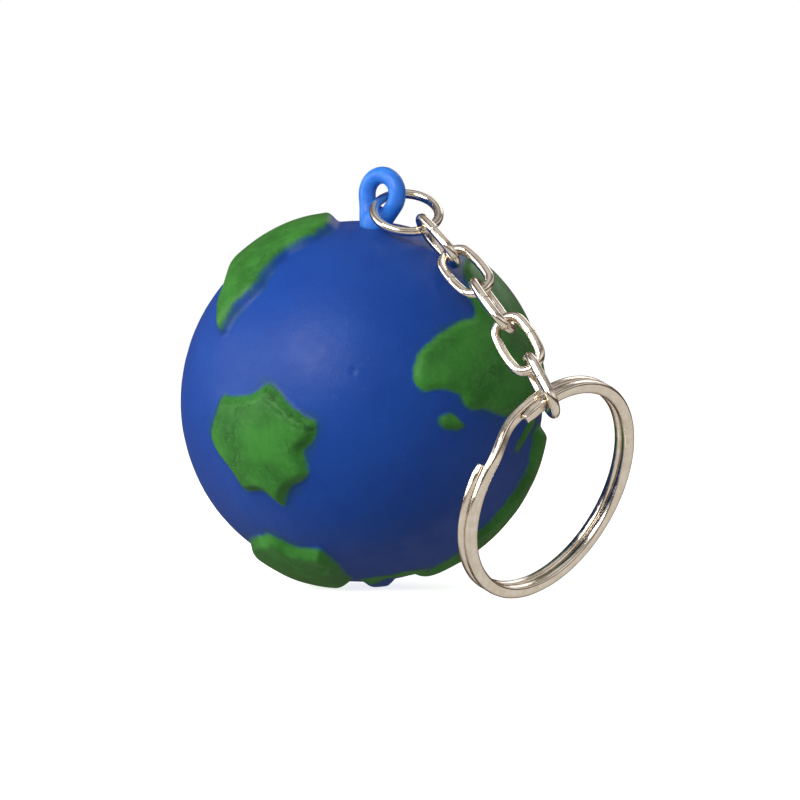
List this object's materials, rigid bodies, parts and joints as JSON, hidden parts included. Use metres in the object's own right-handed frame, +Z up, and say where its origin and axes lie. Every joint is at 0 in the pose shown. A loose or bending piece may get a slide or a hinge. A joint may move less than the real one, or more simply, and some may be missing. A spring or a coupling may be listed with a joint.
{
  "type": "stress ball",
  "caption": "Squeezable foam globe with raised lands, on a short chain of oval links with a split key ring.",
  "frame": {"origin": "centre of the ball's flattened foot, on the table", "axes": "+Z up, -Y towards the viewer's side of the globe, +X to the side the chain hangs on"},
  "size_m": [0.0495, 0.0476, 0.0457],
  "materials": {
    "globe_foam": "matte",
    "eyelet_plastic": "satin",
    "nickel_plate": "polished"
  },
  "bodies": {
    "ball": {"foam_ball": "globe_foam", "hanger_eyelet": "eyelet_plastic"},
    "jump_ring": {"jump_ring": "nickel_plate"},
    "chain_link_1": {"chain_link_1": "nickel_plate"},
    "chain_link_2": {"chain_link_2": "nickel_plate"},
    "chain_link_3": {"chain_link_3": "nickel_plate"},
    "chain_link_4": {"chain_link_4": "nickel_plate"},
    "chain_link_5": {"chain_link_5": "nickel_plate"},
    "split_ring": {"split_ring": "nickel_plate"}
  },
  "joints": [
    {"name": "jump_ring_swing", "type": "hinge", "parent": "ball", "child": "jump_ring", "pos_m": [0.00226, -0.00439, 0.04265], "axis": [-0.6157, -0.788, 0], "range_deg": [0, 150]},
    {"name": "link_1_swing", "type": "hinge", "parent": "jump_ring", "child": "chain_link_1", "pos_m": [0.0071, -0.0085, 0.03896], "axis": [-0.7615, -0.5507, -0.3417], "range_deg": [0, 60]},
    {"name": "link_2_swing", "type": "hinge", "parent": "chain_link_1", "child": "chain_link_2", "pos_m": [0.00993, -0.01205, 0.03564], "axis": [-0.213, -0.7521, 0.6236], "range_deg": [0, 30]},
    {"name": "link_3_swing", "type": "hinge", "parent": "chain_link_2", "child": "chain_link_3", "pos_m": [0.0128, -0.01553, 0.03235], "axis": [-0.8236, -0.1692, -0.5413], "range_deg": [0, 30]},
    {"name": "link_4_swing", "type": "hinge", "parent": "chain_link_3", "child": "chain_link_4", "pos_m": [0.01539, -0.01867, 0.02853], "axis": [-0.4796, -0.8064, 0.3461], "range_deg": [0, 30]},
    {"name": "link_5_swing", "type": "hinge", "parent": "chain_link_4", "child": "chain_link_5", "pos_m": [0.01781, -0.02161, 0.02445], "axis": [-0.8002, 0.1376, -0.5838], "range_deg": [0, 30]},
    {"name": "split_ring_swing", "type": "hinge", "parent": "chain_link_5", "child": "split_ring", "pos_m": [0.01925, -0.02329, 0.02156], "axis": [-0.7144, -0.5664, -0.4109], "range_deg": [-10, 20]}
  ]
}
